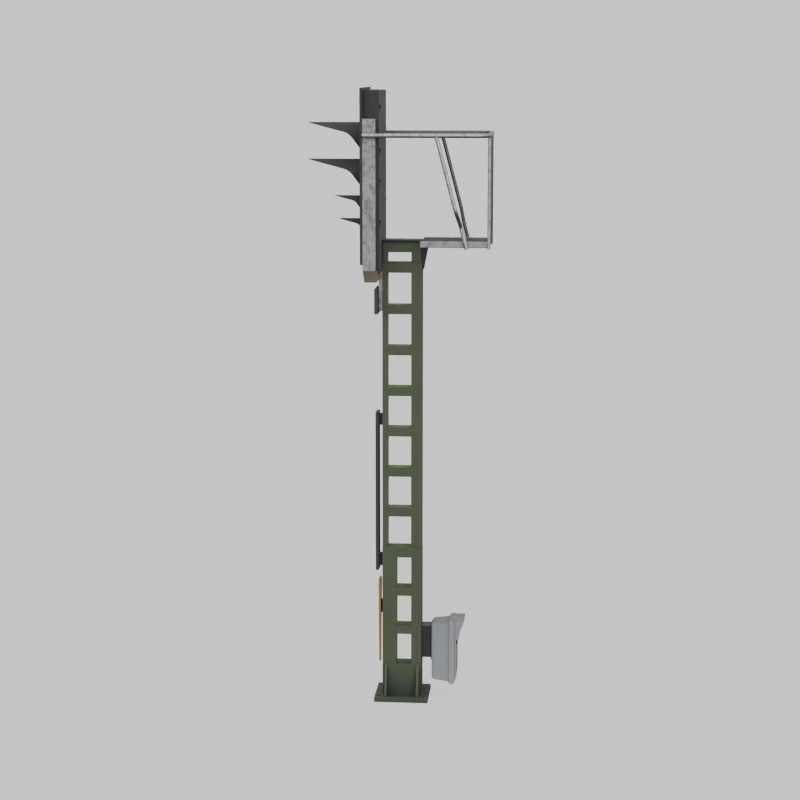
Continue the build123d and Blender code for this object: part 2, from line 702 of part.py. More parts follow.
def door_hinge_pins():
    pins = []
    for span in DOOR_SPANS.values():
        for z in hinge_levels(span):
            pins.append(rod_z(HINGE_X, HINGE_Y, z, z + 2 * HINGE_H - 2, HINGE_PIN_R))
    return pins


def door_seals():
    """Rubber frames that the doors close on."""
    seals = []
    back = HOUSE_REAR_Y - SHEET - DOOR_RETURN - 0.3
    for z0, z1 in DOOR_SPANS.values():
        ring = block(1 - DOOR_HALF_X, DOOR_HALF_X - 1, back - DOOR_SEAL_T, back, z0 + 1, z1 - 1)
        seals.append(ring - block(14 - DOOR_HALF_X, DOOR_HALF_X - 14, back - 5, back + 1, z0 + 14, z1 - 14))
    return seals


def door(span):
    """Folded tray door with two welded hinge barrels and the latch bush."""
    z0, z1 = span
    half = DOOR_HALF_X - DOOR_GAP
    z0 += DOOR_GAP
    z1 -= DOOR_GAP
    inner_y = HOUSE_REAR_Y - SHEET - DOOR_RETURN
    leaf = block(-half, half, inner_y, HOUSE_REAR_Y, z0, z1)
    leaf -= block(2 - half, half - 2, inner_y - 1, HOUSE_REAR_Y - SHEET, z0 + 2, z1 - 2)
    for z in hinge_levels(span):
        base = z + HINGE_H + 0.6
        top = z + 2 * HINGE_H
        leaf += block(HINGE_X - 29, HINGE_X - 2, HOUSE_REAR_Y, HOUSE_REAR_Y + 3, base, top)
        leaf += block(HINGE_X - 6, HINGE_X, HOUSE_REAR_Y + 0.5, HINGE_Y, base, top)
        leaf += rod_z(HINGE_X, HINGE_Y, base, top, HINGE_BARREL_R)
        leaf -= rod_z(HINGE_X, HINGE_Y, base - 1, top - 1.5, HINGE_PIN_R + HINGE_RUN)
    z_mid = (z0 + z1) / 2
    leaf += rod_y(LATCH_X, z_mid, HOUSE_REAR_Y - 12, HOUSE_REAR_Y + 3, 14)
    return leaf - rod_y(LATCH_X, z_mid, HOUSE_REAR_Y - 20, HOUSE_REAR_Y + 10, LATCH_SHAFT_R + HINGE_RUN)


def door_lock(span):
    """Quarter-turn lock: flat head with a key socket, shaft, tongue inside; shown released."""
    z_mid = (span[0] + span[1]) / 2
    outside = HOUSE_REAR_Y + 3.5
    tongue_y = HOUSE_REAR_Y - SHEET - DOOR_RETURN - DOOR_SEAL_T - 8
    lock = rod_y(LATCH_X, z_mid, tongue_y, outside + 2, LATCH_SHAFT_R)
    lock += rod_y(LATCH_X, z_mid, outside, outside + 3, 13)
    lock += block(LATCH_X - 8, LATCH_X + 8, tongue_y, tongue_y + 4, z_mid - 29, z_mid + 8)
    socket = extrude(RegularPolygon(4.5, 3), 12)
    return lock - Pos(LATCH_X, outside + 4, z_mid) * Rot(90, 0, 0) * socket


# ---- signs ---------------------------------------------------------------------------------------
def number_plate():
    """Blank designation plate: folded tray on the mount rail."""
    back_y = -MAST_HALF_Y - MOUNT_RAIL_DEPTH
    half = NUMBER_PLATE_HALF_X
    plate = block(-half, half, back_y - 34, back_y, NUMBER_PLATE_Z0, NUMBER_PLATE_Z1)
    plate = fillet(plate.edges().filter_by(Axis.Y), 10)
    back = block(3 - half, half - 3, back_y - 31, back_y + 1, NUMBER_PLATE_Z0 + 3, NUMBER_PLATE_Z1 - 3)
    bars = block(-40, 40, back_y - 32, back_y, NUMBER_PLATE_Z0 + 60, NUMBER_PLATE_Z1 - 60)
    return (plate - back) + bars


MAST_BRACKETS = [(1348.0, 1463.0), (2760.0, 2865.0)]
TRIANGLE_BRACKET = (865.0, 990.0)
BRACKET_HALF_X = 45.0


def sign_bolt_points():
    """Front face Y, bolt Z and thickness of what the bolts hold."""
    points = []
    for z0, z1 in MAST_BRACKETS:
        points += [(MAST_SIGN_FRONT_Y, z0 + 30), (MAST_SIGN_FRONT_Y, z1 - 30)]
    points += [(TRIANGLE_FRONT_Y, TRIANGLE_BRACKET[0] + 35), (TRIANGLE_FRONT_Y, TRIANGLE_BRACKET[1] - 35)]
    return points


def mast_sign():
    """Tall board of bright panels on the front of the mast."""
    board = block(-MAST_SIGN_HALF_X, MAST_SIGN_HALF_X, MAST_SIGN_FRONT_Y, MAST_SIGN_BACK_Y,
                  MAST_SIGN_Z0, MAST_SIGN_Z1)
    board = fillet(board.edges().filter_by(Axis.Y), 8)
    pan = block(4 - MAST_SIGN_HALF_X, MAST_SIGN_HALF_X - 4, MAST_SIGN_FRONT_Y + 4, MAST_SIGN_BACK_Y + 1,
                MAST_SIGN_Z0 + 4, MAST_SIGN_Z1 - 4)
    board -= pan
    for z0, z1 in MAST_BRACKETS:
        board += block(-BRACKET_HALF_X, BRACKET_HALF_X, MAST_SIGN_FRONT_Y + 3, MAST_SIGN_BACK_Y, z0, z1)
    return drill_sign(board, MAST_SIGN_FRONT_Y)


def caution_triangle():
    """Triangular plate standing on its point."""
    outline = [(-TRIANGLE_HALF_X, TRIANGLE_Z1), (TRIANGLE_HALF_X, TRIANGLE_Z1), (0, TRIANGLE_Z0)]
    corners = [(x, TRIANGLE_FRONT_Y, z) for x, z in outline]
    face = make_face(Polyline(*corners, close=True))
    plate = extrude(face, TRIANGLE_BACK_Y - TRIANGLE_FRONT_Y, dir=(0, 1, 0))
    return drill_sign(plate, TRIANGLE_FRONT_Y)


def drill_sign(shape, front_y):
    for y, z in sign_bolt_points():
        if y == front_y:
            shape -= rod_y(0, z, y - 1, 0, 5.0)
    return shape


def sign_brackets():
    brackets = []
    for z0, z1 in MAST_BRACKETS:
        brackets.append(block(-BRACKET_HALF_X, BRACKET_HALF_X, MAST_SIGN_BACK_Y, -MAST_HALF_Y, z0, z1))
    z0, z1 = TRIANGLE_BRACKET
    brackets.append(block(-30, 30, TRIANGLE_BACK_Y, -MAST_HALF_Y, z0, z1))
    return [drill_sign(drill_sign(bracket, MAST_SIGN_FRONT_Y), TRIANGLE_FRONT_Y) for bracket in brackets]


def bolts_m10():
    """Hexagon bolts of the signs and of the rail clamps."""
    bolts = []
    for y, z in sign_bolt_points():
        bolts.append(hex_y(0, z, y - 7, y, 17) + rod_y(0, z, y - 1, -MAST_HALF_Y, 5.0))
    head_x = CHANNEL_OUT_X + 5
    for y in CLAMP_Y:
        for side in (-1, 1):
            z = RAIL_Z + side * CLAMP_BOLT_DROP
            head = Pos(head_x, y, z) * Rot(0, 90, 0) * extrude(RegularPolygon(17 / math.sqrt(3), 6), 7)
            bolts += both_sides(head + rod_x(y, z, CHANNEL_OUT_X - 14, head_x + 1, 5.0))
    return bolts


# ---- junction box --------------------------------------------------------------------------------
CABLE_Z = 590.0
CABLE_HOLE_R = 30.0
BUSH_WALL = 6.0


def junction_bracket():
    """Box bracket between mast and junction box; the cables run through it."""
    box = block(-70, 70, MAST_HALF_Y, BOX_BACK_Y - 7, 425, 749)
    box -= block(-64, 64, MAST_HALF_Y - 1, BOX_BACK_Y - 13, 431, 743)
    flange = block(-85, 85, BOX_BACK_Y - 7, BOX_BACK_Y, 405, 765)
    return (box + flange) - rod_y(0, CABLE_Z, MAST_HALF_Y + 10, BOX_BACK_Y + 5, CABLE_HOLE_R)


def box_section(y, half_x, z0, z1):
    corners = [(-half_x, y, z0), (half_x, y, z0), (half_x, y, z1), (-half_x, y, z1)]
    return make_face(Polyline(*corners, close=True))


def box_form(inset):
    """Drafted box body, widening from its bevelled back to the front flange."""
    sections = [
        box_section(BOX_BACK_Y + inset, 86 - inset, 225 + inset, 772 - inset),
        box_section(BOX_BACK_Y + 14 + inset / 2, 102 - inset, 211 + inset, 786 - inset),
        box_section(BOX_FRONT_Y - 8 + inset / 8, 143 - inset, 203 + inset, 794 - inset),
    ]
    return loft(sections, ruled=True)


def junction_box_body():
    body = box_form(0) - box_form(BOX_WALL)
    flange = block(-150, 150, BOX_FRONT_Y - 8, BOX_FRONT_Y, 198, 800)
    flange -= block(-133, 133, BOX_FRONT_Y - 9, BOX_FRONT_Y + 1, 214, 784)
    body = body - block(-133, 133, BOX_FRONT_Y - 30, BOX_FRONT_Y + 1, 214, 784)
    body += flange
    for z in LID_HINGE_Z:
        for z0 in (z - 30, z + 10.5):
            body += block(LID_HINGE_X - 3, -149, BOX_FRONT_Y - 8, BOX_FRONT_Y, z0, z0 + 19.5)
            body += rod_z(LID_HINGE_X, LID_HINGE_Y, z0, z0 + 19.5, LID_BARREL_R)
            body -= rod_z(LID_HINGE_X, LID_HINGE_Y, z0 - 1, z0 + 21, LID_PIN_R)
    return body - rod_y(0, CABLE_Z, BOX_BACK_Y - 5, BOX_BACK_Y + 10, CABLE_HOLE_R)


def cable_bush():
    """Rubber bush that lines the cable hole from the bracket into the box."""
    y0 = BOX_BACK_Y - 13
    y1 = BOX_BACK_Y + BOX_WALL
    bush = rod_y(0, CABLE_Z, y0, y1, CABLE_HOLE_R) + rod_y(0, CABLE_Z, y1, y1 + 5, CABLE_HOLE_R + 7)
    return bush - rod_y(0, CABLE_Z, y0 - 1, y1 + 6, CABLE_HOLE_R - BUSH_WALL)


def junction_gasket():
    ring = block(-149, 149, BOX_FRONT_Y, LID_BACK_Y - 0.4, 199, 799)
    return ring - block(-137, 137, BOX_FRONT_Y - 1, LID_BACK_Y + 1, 211, 787)


def lid_outline(inset):
    """Side outline of the lid's cover: bevelled foot, flat face and rain awning."""
    return [
        (LID_RIM_Y - 5, 200 + inset),
        (LID_FACE_Y - 2 * inset / 3 - 16, 200 + inset),
        (LID_FACE_Y - inset, 245 + inset / 2),
        (LID_FACE_Y - inset, 637 + inset / 2),
        (566 - inset, 641 + inset),
        (576 - inset, 710),
        (617 - 2 * inset, 817 - inset),
        (LID_RIM_Y - 5, 817 - inset),
    ]


def junction_box_lid():
    """Hollow lid: deep rim, cover with a sloping awning, hinge barrels at one side."""
    half = LID_HALF_X
    rim = block(-half, half, LID_BACK_Y, LID_RIM_Y, LID_Z0, LID_Z1)
    rim = fillet(rim.edges().filter_by(Axis.Y), 6)
    wall = BOX_WALL
    cover = prism_x(lid_outline(0), 12 - half, half - 12)
    lid = rim + cover
    lid -= block(wall - half, half - wall, LID_BACK_Y + wall, LID_RIM_Y - wall, LID_Z0 + wall, LID_Z1 - wall)
    lid -= prism_x(lid_outline(wall), 12 + wall - half, half - 12 - wall)
    lid -= block(-138, 138, LID_BACK_Y - 1, LID_RIM_Y, 212, 788)
    for z in LID_HINGE_Z:
        lid += block(LID_HINGE_X, 1 - half, LID_HINGE_Y - 5, LID_HINGE_Y + 6, z - 10, z + 10)
        lid += rod_z(LID_HINGE_X, LID_HINGE_Y, z - 10, z + 10, LID_BARREL_R)
        lid -= rod_z(LID_HINGE_X, LID_HINGE_Y, z - 11, z + 11, LID_PIN_R + HINGE_RUN)
    lid += rod_y(LID_LATCH_X, LID_LATCH_Z, LID_FACE_Y - 12, LID_FACE_Y, 12)
    return lid - rod_y(LID_LATCH_X, LID_LATCH_Z, LID_FACE_Y - 20, LID_FACE_Y + 5, LATCH_SHAFT_R + HINGE_RUN)


def junction_hinge_pins():
    return [rod_z(LID_HINGE_X, LID_HINGE_Y, z - 30, z + 30, LID_PIN_R) for z in LID_HINGE_Z]


def junction_lid_latch():
    """Wing knob outside, shaft, and a tongue that turns behind the box flange."""
    face = LID_FACE_Y + 0.5
    tongue_y = BOX_FRONT_Y - 8 - 6
    latch = rod_y(LID_LATCH_X, LID_LATCH_Z, tongue_y, face + 2, LATCH_SHAFT_R)
    latch += rod_y(LID_LATCH_X, LID_LATCH_Z, face, face + 4, 17)
    wing = block(LID_LATCH_X - 5, LID_LATCH_X + 5, face + 2, face + 14, LID_LATCH_Z - 20, LID_LATCH_Z + 20)
    latch += fillet(wing.edges().filter_by(Axis.Y), 3)
    latch += block(LID_LATCH_X - 7, LID_LATCH_X + 7, tongue_y, tongue_y + 4,
                   LID_LATCH_Z - 23.5, LID_LATCH_Z + 7)
    return latch


# ---- write every node ----------------------------------------------------------------------------
save("base_plate", base_plate())
save("base_gussets", base_gussets())
lower_mast()
upper_mast()
save("mast_flange_plates", mast_flange_plates())
save("mast_head_frame", mast_head_frame())
save("mast_cap_plate", mast_cap_plate())
save("platform_brackets", platform_brackets())
save("platform_side_beams", platform_side_beams())
save("platform_cross_beams", platform_cross_beams())
save("platform_grating", platform_grating())
save("handrail", handrail())
save("handrail_posts", handrail_posts())
save("handrail_braces", handrail_braces())
save("handrail_clamps", handrail_clamps())
save("side_channels", side_channels())
save("lower_crossmember", lower_crossmember())
save("mount_rail", mount_rail())
save("background_board", background_board())
save("housing_shell", housing_shell())
lamps()
save("lamp_transformers", lamp_transformers())
save("housing_terminals", terminal_strip(-280.0, -60.0, 4905.0, INSIDE_FRONT_Y, 1))
save("door_hinge_bases", door_hinge_bases())
save("door_hinge_pins", door_hinge_pins())
save("door_seals", door_seals())
for side, door_span in DOOR_SPANS.items():
    save(f"{side}_door", door(door_span))
    save(f"{side}_door_latch", door_lock(door_span))
save("number_plate", number_plate())
save("mast_sign", mast_sign())
save("caution_triangle", caution_triangle())
save("sign_brackets", sign_brackets())
save("bolts_m10", bolts_m10())
save("junction_bracket", junction_bracket())
save("junction_box_body", junction_box_body())
save("junction_gasket", junction_gasket())
save("cable_bush", cable_bush())
save("junction_box_lid", junction_box_lid())
save("junction_hinge_pins", junction_hinge_pins())
save("junction_lid_latch", junction_lid_latch())
save("junction_terminals", terminal_strip(-80.0, 80.0, 440.0, BOX_BACK_Y + BOX_WALL, 1))
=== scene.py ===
import json
import math
import random

import bmesh
import bpy
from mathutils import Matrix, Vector


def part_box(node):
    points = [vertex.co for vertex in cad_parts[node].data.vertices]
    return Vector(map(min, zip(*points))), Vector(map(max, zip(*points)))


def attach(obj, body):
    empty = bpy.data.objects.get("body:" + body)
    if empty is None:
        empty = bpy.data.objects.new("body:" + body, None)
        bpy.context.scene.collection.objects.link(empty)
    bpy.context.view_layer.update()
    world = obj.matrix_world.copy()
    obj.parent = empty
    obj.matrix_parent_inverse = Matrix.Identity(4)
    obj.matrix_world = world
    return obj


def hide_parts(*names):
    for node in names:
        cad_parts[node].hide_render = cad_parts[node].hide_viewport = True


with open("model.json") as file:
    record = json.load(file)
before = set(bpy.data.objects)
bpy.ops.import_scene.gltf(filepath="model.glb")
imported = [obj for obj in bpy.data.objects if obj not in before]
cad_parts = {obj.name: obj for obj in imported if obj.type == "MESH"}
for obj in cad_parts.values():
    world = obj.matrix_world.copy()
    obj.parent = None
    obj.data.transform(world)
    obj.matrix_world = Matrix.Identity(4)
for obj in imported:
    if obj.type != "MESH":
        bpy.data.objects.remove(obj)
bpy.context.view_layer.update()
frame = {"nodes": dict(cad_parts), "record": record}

NODES = frame["nodes"]
SLOT_OF = {part["node"]: part["material_slot"] for part in frame["record"]["subparts"]}


# ---- camera --------------------------------------------------------------------------------------
CAMERA_AZIMUTH = 95.0
CAMERA_ELEVATION = 10.0
CAMERA_DISTANCE = 18.4
CAMERA_LENS = 85.0
CAMERA_TARGET = (0.0, -0.027, 3.0)
CAMERA_REACH = 1000.0        # past the far side of the stage's wall


def aim(obj, target):
    """Turn a camera or light, which look along their own -Z, towards a point."""
    obj.rotation_euler = (Vector(target) - obj.location).to_track_quat("-Z", "Y").to_euler()


def direction(azimuth, elevation):
    """Unit vector from the object towards a viewer at that azimuth and elevation."""
    a = math.radians(azimuth)
    e = math.radians(elevation)
    return Vector((math.sin(a) * math.cos(e), -math.cos(a) * math.cos(e), math.sin(e)))


def add_camera():
    data = bpy.data.cameras.new("camera")
    data.lens = CAMERA_LENS
    data.clip_end = CAMERA_REACH
    camera = bpy.data.objects.new("camera", data)
    camera.location = Vector(CAMERA_TARGET) + CAMERA_DISTANCE * direction(CAMERA_AZIMUTH, CAMERA_ELEVATION)
    bpy.context.scene.collection.objects.link(camera)
    aim(camera, CAMERA_TARGET)
    bpy.context.scene.camera = camera


# ---- material building blocks --------------------------------------------------------------------
# The colour sockets of a Mix node come after those for numbers and vectors.
MIX_FACTOR, MIX_A, MIX_B = 0, 6, 7
MIX_RESULT = 2
EDGE_WIDTH = 0.004
SHADER_SAMPLES = 4


class Shader:
    """A new material with a Principled shader, and short ways to add nodes to it."""

    def __init__(self, name, roughness, metallic=0.0):
        self.material = bpy.data.materials.new(name)
        self.material.use_nodes = True
        self.tree = self.material.node_tree
        self.bsdf = self.tree.nodes["Principled BSDF"]
        self.bsdf.inputs["Roughness"].default_value = roughness
        self.bsdf.inputs["Metallic"].default_value = metallic
        self.coord = self.add("ShaderNodeTexCoord").outputs["Object"]

    def add(self, kind, **settings):
        node = self.tree.nodes.new(kind)
        for key, value in settings.items():
            setattr(node, key, value)
        return node

    def link(self, source, target):
        self.tree.links.new(source, target)

    def stretched(self, scale):
        """Object coordinates multiplied by a vector."""
        node = self.add("ShaderNodeMapping")
        node.inputs["Scale"].default_value = scale
        self.link(self.coord, node.inputs["Vector"])
        return node.outputs["Vector"]

    def noise(self, scale, detail=4.0, roughness=0.55, stretch=(1, 1, 1)):
        node = self.add("ShaderNodeTexNoise")
        node.inputs["Scale"].default_value = scale
        node.inputs["Detail"].default_value = detail
        node.inputs["Roughness"].default_value = roughness
        self.link(self.stretched(stretch), node.inputs["Vector"])
        return node.outputs["Fac"]

    def cells(self, scale):
        """A random brightness in each cell."""
        node = self.add("ShaderNodeTexVoronoi")
        node.inputs["Scale"].default_value = scale
        self.link(self.coord, node.inputs["Vector"])
        bright = self.add("ShaderNodeRGBToBW")
        self.link(node.outputs["Color"], bright.inputs[0])
        return bright.outputs[0]

    def ramp(self, factor, low, high, start=0.0, end=1.0):
        """Factor remapped from low..high to start..end, clamped."""
        node = self.add("ShaderNodeMapRange")
        node.inputs["From Min"].default_value = low
        node.inputs["From Max"].default_value = high
        node.inputs["To Min"].default_value = start
        node.inputs["To Max"].default_value = end
        self.link(factor, node.inputs["Value"])
        return node.outputs["Result"]

    def maths(self, operation, a, b):
        node = self.add("ShaderNodeMath", operation=operation)
        for socket, value in zip(node.inputs, (a, b)):
            if isinstance(value, (int, float)):
                socket.default_value = value
            else:
                self.link(value, socket)
        return node.outputs[0]

    def mix(self, factor, a, b):
        node = self.add("ShaderNodeMix", data_type="RGBA")
        for index, value in ((MIX_FACTOR, factor), (MIX_A, a), (MIX_B, b)):
            socket = node.inputs[index]
            if isinstance(value, tuple):
                socket.default_value = (*value, 1.0)
            elif isinstance(value, (int, float)):
                socket.default_value = value
            else:
                self.link(value, socket)
        return node.outputs[MIX_RESULT]

    def axis(self, source, name):
        """One component of the object coordinates ("place") or of the surface normal ("normal")."""
        node = self.add("ShaderNodeSeparateXYZ")
        if source == "place":
            self.link(self.coord, node.inputs[0])
        else:
            self.link(self.add("ShaderNodeNewGeometry").outputs["Normal"], node.inputs[0])
        return node.outputs[name]

    def outwardness(self):
        """Above 0 on faces turned away from the object's middle plane, below 0 on those turned to it."""
        return self.maths("MULTIPLY", self.axis("place", "X"), self.axis("normal", "X"))

    def band(self, value, low, high, soft):
        """1 between low and high, fading to 0 over soft."""
        rise = self.ramp(value, low - soft, low)
        fall = self.ramp(value, high, high + soft, 1.0, 0.0)
        return self.maths("MULTIPLY", rise, fall)

    def edges(self, strength):
        """About strength on sharp edges and 0 on open faces."""
        bevel = self.add("ShaderNodeBevel", samples=SHADER_SAMPLES)
        bevel.inputs["Radius"].default_value = EDGE_WIDTH
        geometry = self.add("ShaderNodeNewGeometry")
        dot = self.add("ShaderNodeVectorMath", operation="DOT_PRODUCT")
        self.link(bevel.outputs["Normal"], dot.inputs[0])
        self.link(geometry.outputs["Normal"], dot.inputs[1])
        return self.ramp(dot.outputs["Value"], 0.995, 0.85, 0.0, strength)

    def corners(self, reach, strength):
        """Up to strength where another surface stands within reach, and 0 in the open."""
        node = self.add("ShaderNodeAmbientOcclusion", samples=SHADER_SAMPLES)
        node.inputs["Distance"].default_value = reach
        return self.ramp(node.outputs["AO"], 0.85, 0.35, 0.0, strength)

    def bump(self, height, distance, strength):
        node = self.add("ShaderNodeBump")
        node.inputs["Distance"].default_value = distance
        node.inputs["Strength"].default_value = strength
        self.link(height, node.inputs["Height"])
        self.link(node.outputs["Normal"], self.bsdf.inputs["Normal"])

    def colour(self, source):
        self.link(source, self.bsdf.inputs["Base Color"])

    def rough(self, source):
        self.link(source, self.bsdf.inputs["Roughness"])


def grey(value, blue=0.0):
    return (value, value, value + blue)


def zinc(value):
    """A grey with a faint violet cast."""
    return (value, value * 0.99, value * 1.05)


def scaled(colour, factor):
    return tuple(factor * c for c in colour)


RUST = (0.16, 0.075, 0.035)
# Heights at which the painted ground shade on the mast's foot ends and is deepest.
GROUND_SHADE_TOP = 0.42
GROUND_SHADE_FULL = 0.12
# Distances from the middle plane at which inner faces begin to take their painted light and have it in full.
INNER_LIGHT_START = 0.02
INNER_LIGHT_FULL = 0.05


def painted_ground_shade(s, tone, base, amount):
    """Painted shade near the ground, broken up by noise, with painted shadow deepest in the corners."""
    low = s.ramp(s.axis("place", "Z"), GROUND_SHADE_TOP, GROUND_SHADE_FULL, 0.0, amount)
    low = s.maths("MULTIPLY", low, s.ramp(s.noise(9.0, 5, 0.6), 0.3, 0.6, 0.7, 1.0))
    # Painted shadow: deepest where another surface stands close near the ground.
    deep = s.maths("MULTIPLY", low, s.corners(0.22, 0.9))
    tone = s.mix(low, tone, scaled(base, 0.45))
    return s.mix(deep, tone, scaled(base, 0.25))


def painted(name, base, rubbed_and_highlit_edge, dust, roughness, rear=None, rust=0.0, edge_rub_and_highlight=0.5, ground_shade=0.0, corner_shade=0.55,
            inner=None):
    """Outdoor paint: tone drift, streaks, dust, rust spots, painted shade in the corners and near the
    ground, and rubbed edges with a painted highlight.

    rear is the tone of faces turned to +Y, and inner a painted light: the lighter tone of faces turned to
    the object's middle plane.
    """
    s = Shader(name, roughness)
    drift = s.ramp(s.noise(1.7, 5, 0.6), 0.35, 0.68)
    tone = s.mix(drift, scaled(base, 0.93), scaled(base, 1.07))
    if rear:
        tone = s.mix(s.ramp(s.axis("normal", "Y"), 0.55, 0.8), tone, rear)
    streak = s.ramp(s.noise(11.0, 6, 0.6, stretch=(1, 1, 0.06)), 0.52, 0.78, 0.0, 0.30)
    tone = s.mix(streak, tone, scaled(base, 0.68))
    speck = s.ramp(s.noise(70.0, 3, 0.7), 0.62, 0.76, 0.0, 0.22)
    tone = s.mix(speck, tone, dust)
    up = s.ramp(s.axis("normal", "Z"), 0.3, 0.85)
    settled = s.maths("MULTIPLY", up, s.ramp(s.noise(12.0, 6, 0.65), 0.3, 0.65, 0.15, 0.6))
    tone = s.mix(settled, tone, dust)
    if rust:
        spot = s.ramp(s.noise(31.0, 6, 0.72), 0.655, 0.70, 0.0, rust)
        tone = s.mix(spot, tone, RUST)
    # Painted shade near the ground, deepest in the corners.
    if ground_shade:
        tone = painted_ground_shade(s, tone, base, ground_shade)
    # Painted shade: darker wherever another surface stands close, in corners and recesses.
    tone = s.mix(s.corners(0.05, corner_shade), tone, scaled(base, 0.45))
    if inner:
        # Painted light: faces turned to the middle plane, such as the battens' inner faces seen through the
        # mast's windows, are lit up to the inner tone.
        tone = s.mix(s.ramp(s.outwardness(), -INNER_LIGHT_START, -INNER_LIGHT_FULL), tone, inner)
    # Lighter edges: rubbed paint, partly a painted edge highlight.
    tone = s.mix(s.edges(edge_rub_and_highlight), tone, rubbed_and_highlit_edge)
    s.colour(tone)
    s.rough(s.ramp(s.noise(14.0, 5, 0.65), 0.3, 0.75, roughness - 0.07, roughness + 0.14))
    grain = s.maths("ADD", s.noise(240.0, 3, 0.5), s.maths("MULTIPLY", s.noise(26.0, 3, 0.5), 1.6))
    s.bump(grain, 0.0004, 0.45)
    return s.material


# Where the braces of the handrail are cranked.
CRANK_Y = (0.50, 0.62)
CRANK_Z = (4.72, 4.85)


def tube_marks_and_shade(s, tone, base):
    """A mottled brown band at the cranks, painted shade on the undersides, and a much darker tone on faces
    turned to the middle plane.
    """
    # A mottled brown band at the cranks of the braces.
    crank = s.band(s.axis("place", "Z"), *CRANK_Z, 0.04)
    on_brace = s.band(s.axis("place", "Y"), *CRANK_Y, 0.03)
    mottle = s.ramp(s.noise(28.0, 5, 0.6), 0.38, 0.55, 0.35, 0.95)
    brown_band = s.maths("MULTIPLY", s.maths("MULTIPLY", crank, on_brace), mottle)
    tone = s.mix(brown_band, tone, (0.24, 0.185, 0.10))
    # Painted shade: the undersides of the tubes darkened.
    underside_shade = s.ramp(s.axis("normal", "Z"), -0.15, -0.8, 0.0, 0.7)
    tone = s.mix(underside_shade, tone, zinc(base * 0.30))
    # Much darker on faces turned to the middle plane.
    return s.mix(s.ramp(s.outwardness(), 0.0, -0.12, 0.0, 0.88), tone, zinc(base * 0.14))


def galvanised(name, base, blotch=0.7, metallic=0.3, tube=False):
    """Hot-dip zinc: spangle, cloudy dark blotches, white bloom and painted shade in the corners; a tube is
    smoother, with a brown band at the cranks, painted shade underneath and a darker inner side.
    """
    s = Shader(name, 0.5, metallic)
    spangle = s.ramp(s.cells(75.0), 0.1, 0.9)
    drift = 0.03 if tube else 0.08
    tone = s.mix(spangle, zinc(base * (1 - drift)), zinc(base * (1 + drift)))
    cloud = s.ramp(s.noise(5.0, 4, 0.6), 0.40, 0.62, 0.0, 0.45)
    tone = s.mix(cloud, tone, zinc(base * 0.70))
    patch = s.ramp(s.noise(21.0, 4, 0.55, stretch=(1, 1.15, 0.85)), 0.47, 0.63, 0.0, blotch)
    tone = s.mix(patch, tone, zinc(base * 0.45))
    bloom = s.ramp(s.noise(33.0, 4, 0.6), 0.56, 0.72, 0.0, 0.45)
    tone = s.mix(bloom, tone, zinc(base * 1.35))
    # Painted shade in corners and recesses.
    tone = s.mix(s.corners(0.03, 0.6), tone, zinc(base * 0.35))
    if tube:
        s.colour(tube_marks_and_shade(s, tone, base))
        s.rough(s.ramp(s.noise(22.0, 4, 0.6), 0.35, 0.65, 0.26, 0.42))
        s.bump(s.noise(35.0, 4, 0.6), 0.0004, 0.3)
    else:
        s.colour(tone)
        s.rough(s.ramp(spangle, 0.0, 1.0, 0.38, 0.58))
        s.bump(s.maths("ADD", s.noise(60.0, 4, 0.6), spangle), 0.0004, 0.35)
    return s.material


def primer(name):
    """Brown primer with rust specks, and a patchy orange-brown tone on faces turned to +Y."""
    s = Shader(name, 0.75)
    tone = s.mix(s.ramp(s.noise(7.0, 6, 0.65), 0.35, 0.65), (0.145, 0.124, 0.090), (0.105, 0.092, 0.067))
    patchy = s.ramp(s.noise(9.0, 5, 0.6), 0.30, 0.55, 0.45, 1.0)
    rear = s.maths("MULTIPLY", s.ramp(s.axis("normal", "Y"), 0.5, 0.8), patchy)
    tone = s.mix(rear, tone, (0.34, 0.20, 0.07))
    tone = s.mix(s.ramp(s.noise(40.0, 5, 0.7), 0.60, 0.72, 0.0, 0.5), tone, scaled(RUST, 0.9))
    # Lighter edges: rubbed primer, partly a painted edge highlight.
    tone = s.mix(s.edges(0.4), tone, (0.24, 0.21, 0.16))
    s.colour(tone)
    s.bump(s.noise(90.0, 4, 0.6), 0.0006, 0.5)
    return s.material


def glass(name, colour, deep, transmission=0.35):
    """Moulded signal glass: coloured and glossy, its tone drifting at random towards a darker shade."""
    s = Shader(name, 0.12)
    s.bsdf.inputs["Transmission Weight"].default_value = transmission
    s.bsdf.inputs["IOR"].default_value = 1.5
    s.bsdf.inputs["Coat Weight"].default_value = 0.6
    s.bsdf.inputs["Coat Roughness"].default_value = 0.05
    s.colour(s.mix(s.ramp(s.noise(20.0, 3), 0.35, 0.65), colour, deep))
    s.bump(s.noise(180.0, 2), 0.0003, 0.2)
    return s.material


def moulded(name, base, roughness, grain=320.0):
    """Plastic, rubber or enamel with a fine grain, dust and slight tone drift."""
    s = Shader(name, roughness)
    tone = s.mix(s.ramp(s.noise(6.0, 4), 0.35, 0.65), scaled(base, 0.9), scaled(base, 1.1))
    s.colour(s.mix(s.ramp(s.noise(60.0, 4, 0.7), 0.6, 0.75, 0.0, 0.25), tone, grey(0.30)))
    s.rough(s.ramp(s.noise(30.0, 4), 0.3, 0.7, roughness - 0.06, roughness + 0.1))
    s.bump(s.noise(grain, 3), 0.0003, 0.4)
    return s.material


def bare_metal(name, base, roughness):
    """Zinc-plated or cast metal with tarnish, rust specks and a fine grain."""
    s = Shader(name, roughness, 0.85)
    tarnish = s.ramp(s.noise(24.0, 6, 0.65), 0.35, 0.7)
    tone = s.mix(tarnish, base, scaled(base, 0.62))
    s.colour(s.mix(s.ramp(s.noise(90.0, 4, 0.7), 0.63, 0.72, 0.0, 0.35), tone, RUST))
    s.rough(s.ramp(tarnish, 0.0, 1.0, roughness, roughness + 0.25))
    s.bump(s.noise(300.0, 3), 0.0002, 0.4)
    return s.material


